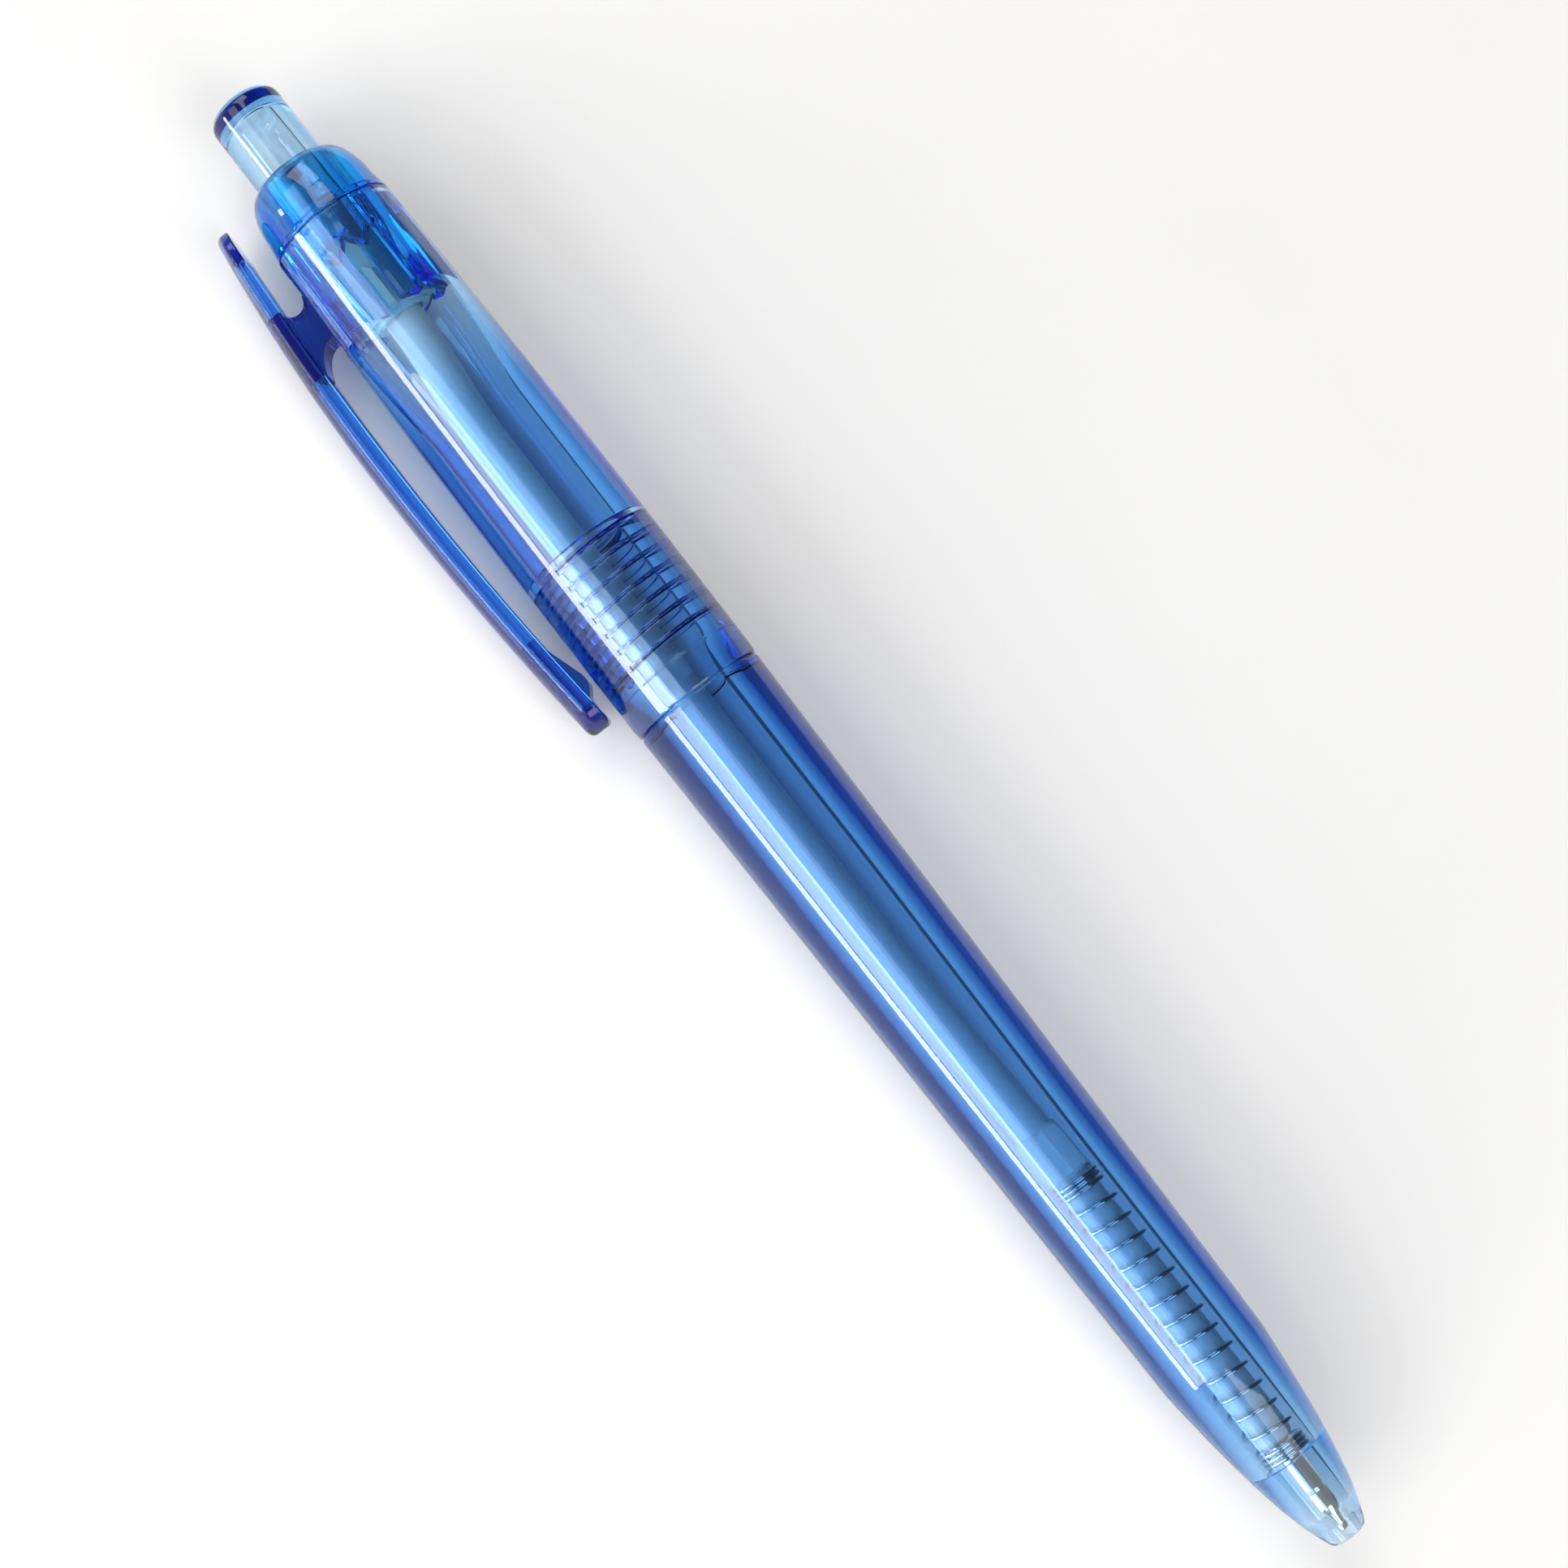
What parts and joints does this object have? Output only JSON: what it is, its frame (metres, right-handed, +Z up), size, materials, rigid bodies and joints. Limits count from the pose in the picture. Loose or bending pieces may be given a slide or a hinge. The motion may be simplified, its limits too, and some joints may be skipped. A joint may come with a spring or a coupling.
{
  "type": "pushbutton ballpoint pen",
  "caption": "Clear blue retractable ballpoint pen with a screwed barrel, side clip, push button, cam rotor, refill and return spring.",
  "frame": {"origin": "on the table under the middle of the pen's box, with the pen lying on its barrel and on the lower edge of its clip", "axes": "+X along the pen towards the nose, +Z up, clip towards -Y and 22.2 degrees below level"},
  "size_m": [0.142, 0.0154, 0.0116],
  "materials": {
    "upper_barrel": "clear blue moulded plastic",
    "lower_barrel": "clear blue moulded plastic",
    "end_cap": "deep blue translucent plastic",
    "clip": "deep blue translucent plastic",
    "push_button": "clear plastic",
    "cam_rotor": "milky plastic",
    "refill_tube": "milky plastic",
    "ink_column": "blue ink paste",
    "point_body": "polished nickel silver",
    "writing_ball": "polished carbide",
    "return_spring": "drawn spring steel"
  },
  "bodies": {
    "barrel": {"upper_barrel": "upper_barrel", "lower_barrel": "lower_barrel", "end_cap": "end_cap", "return_spring": "return_spring"},
    "clip": {"clip": "clip"},
    "button": {"push_button": "push_button"},
    "refill": {"refill_tube": "refill_tube", "ink_column": "ink_column", "point_body": "point_body"},
    "rotor": {"cam_rotor": "cam_rotor"},
    "ball": {"writing_ball": "writing_ball"}
  },
  "joints": [
    {"name": "button_press", "type": "slide", "parent": "barrel", "child": "button", "axis": [1, 0, 0], "range_m": [0, 0.005], "stiffness_N_per_m": 200, "springref_m": -0.004},
    {"name": "refill_slide", "type": "slide", "parent": "barrel", "child": "refill", "axis": [1, 0, 0], "range_m": [0, 0.005], "deforming": ["return_spring"]},
    {"name": "rotor_turn", "type": "hinge", "parent": "refill", "child": "rotor", "pos_m": [-0.0523, 0.00184, 0.00581], "axis": [1, 0, 0], "range_deg": [-3, 3]},
    {"name": "ball_roll", "type": "hinge", "parent": "refill", "child": "ball", "pos_m": [0.06985, 0.00184, 0.00581], "axis": [0, 1, 0], "continuous": true},
    {"name": "clip_flex", "type": "hinge", "parent": "barrel", "child": "clip", "pos_m": [-0.0523, -0.00284, 0.00391], "axis": [0, 0.3778, -0.9259], "range_deg": [0, 3], "stiffness_Nm_per_rad": 0.02, "springref_deg": -5.73}
  ],
  "couplings": [
    {"joint": "refill_slide", "follows": "button_press", "ratio": 1}
  ]
}
